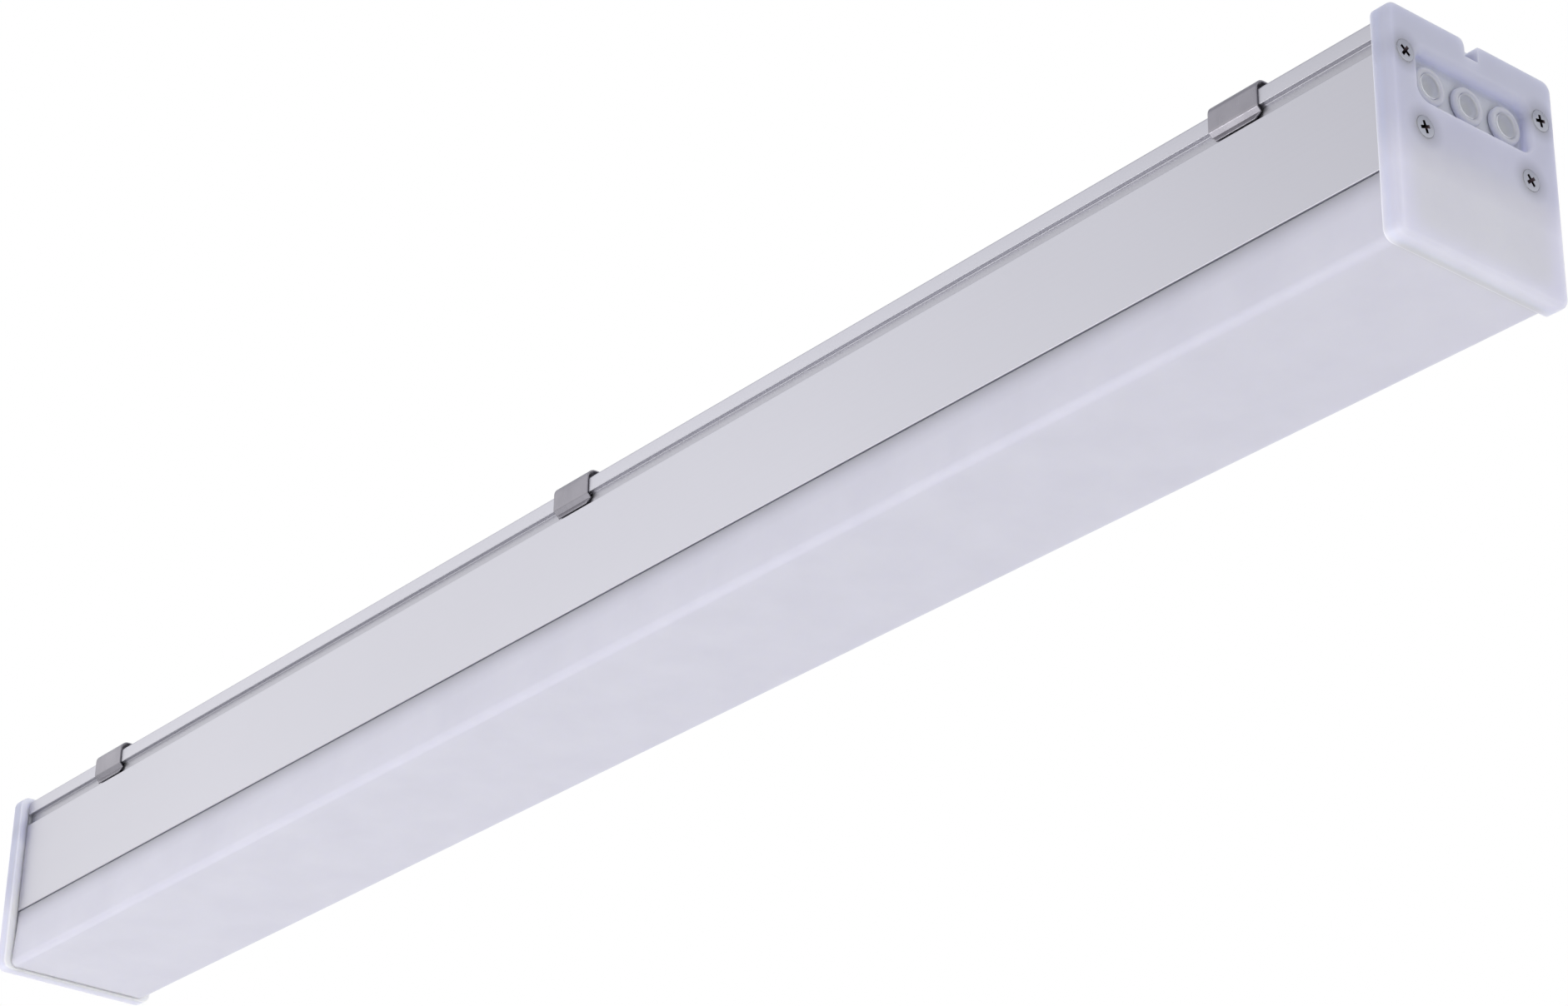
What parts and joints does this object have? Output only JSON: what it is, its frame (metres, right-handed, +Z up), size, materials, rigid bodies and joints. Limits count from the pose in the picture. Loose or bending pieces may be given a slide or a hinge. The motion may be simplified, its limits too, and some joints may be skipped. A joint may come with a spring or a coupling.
{
  "type": "led linear light",
  "caption": "Long sealed batten light: aluminium channel with a clip-in milky diffuser, milky end caps with cable entries, and spring clips that slide along its side grooves.",
  "frame": {"origin": "middle of the light's underside, level with the undersides of its two end caps", "axes": "+X along the light towards the end that the picture shows nearest, +Y across its width, +Z up towards the ceiling side where the clips are"},
  "size_m": [0.62, 0.0544, 0.061],
  "materials": {
    "aluminium": "satin anodised extrusion with faint lengthwise drawing lines",
    "milky_cap": "milky translucent moulded polycarbonate, satin",
    "milky_diffuser": "opal extruded polycarbonate, satin",
    "silicone": "milky silicone, matt",
    "stainless": "stainless spring sheet, semi-bright",
    "zinc": "nickel-plated or zinc-plated steel",
    "board_white": "white solder mask",
    "case_white": "moulded white plastic",
    "board_green": "green solder mask",
    "ferrite": "dark ferrite",
    "copper": "enamelled copper winding",
    "sleeve_black": "black shrink sleeve",
    "wire_brown": "wire insulation",
    "wire_blue": "wire insulation",
    "wire_green": "wire insulation",
    "wire_red": "wire insulation",
    "wire_black": "wire insulation"
  },
  "bodies": {
    "light": {"housing": "aluminium", "diffuser": "milky_diffuser", "right_end_cap": "milky_cap", "left_end_cap": "milky_cap", "right_cap_gasket": "silicone", "left_cap_gasket": "silicone", "right_cap_screw_1": "zinc", "right_cap_screw_2": "zinc", "right_cap_screw_3": "zinc", "right_cap_screw_4": "zinc", "left_cap_screw_1": "zinc", "left_cap_screw_2": "zinc", "left_cap_screw_3": "zinc", "left_cap_screw_4": "zinc", "right_cable_grommet_1": "silicone", "right_cable_grommet_2": "silicone", "right_cable_grommet_3": "silicone", "left_cable_grommet_1": "silicone", "left_cable_grommet_2": "silicone", "left_cable_grommet_3": "silicone", "right_led_board": "board_white", "left_led_board": "board_white", "right_board_screw_1": "zinc", "right_board_screw_2": "zinc", "left_board_screw_1": "zinc", "left_board_screw_2": "zinc", "right_board_plug": "case_white", "left_board_plug": "case_white", "driver_tray": "case_white", "driver_lid": "case_white", "driver_board": "board_green", "driver_transformer": "ferrite", "driver_capacitor_1": "sleeve_black", "driver_capacitor_2": "sleeve_black", "driver_choke": "copper", "driver_screw_1": "zinc", "driver_screw_2": "zinc", "right_terminal_block": "case_white", "left_terminal_block": "case_white", "earth_lug": "zinc", "earth_screw": "zinc", "through_wire_live": "wire_brown", "through_wire_neutral": "wire_blue", "through_wire_earth": "wire_green", "driver_wire_live": "wire_brown", "driver_wire_neutral": "wire_blue", "earth_wire": "wire_green", "led_wire_plus": "wire_red", "led_wire_minus": "wire_black", "link_wire_plus": "wire_red", "link_wire_minus": "wire_black"},
    "clip_right": {"right_clip": "stainless"},
    "clip_middle": {"middle_clip": "stainless"},
    "clip_left": {"left_clip": "stainless"}
  },
  "joints": [
    {"name": "right_clip_slide", "type": "slide", "parent": "light", "child": "clip_right", "axis": [1, 0, 0], "range_m": [-0.1205, 0.0368]},
    {"name": "middle_clip_slide", "type": "slide", "parent": "light", "child": "clip_middle", "axis": [1, 0, 0], "range_m": [-0.1181, 0.1205]},
    {"name": "left_clip_slide", "type": "slide", "parent": "light", "child": "clip_left", "axis": [1, 0, 0], "range_m": [-0.0444, 0.1181]}
  ]
}
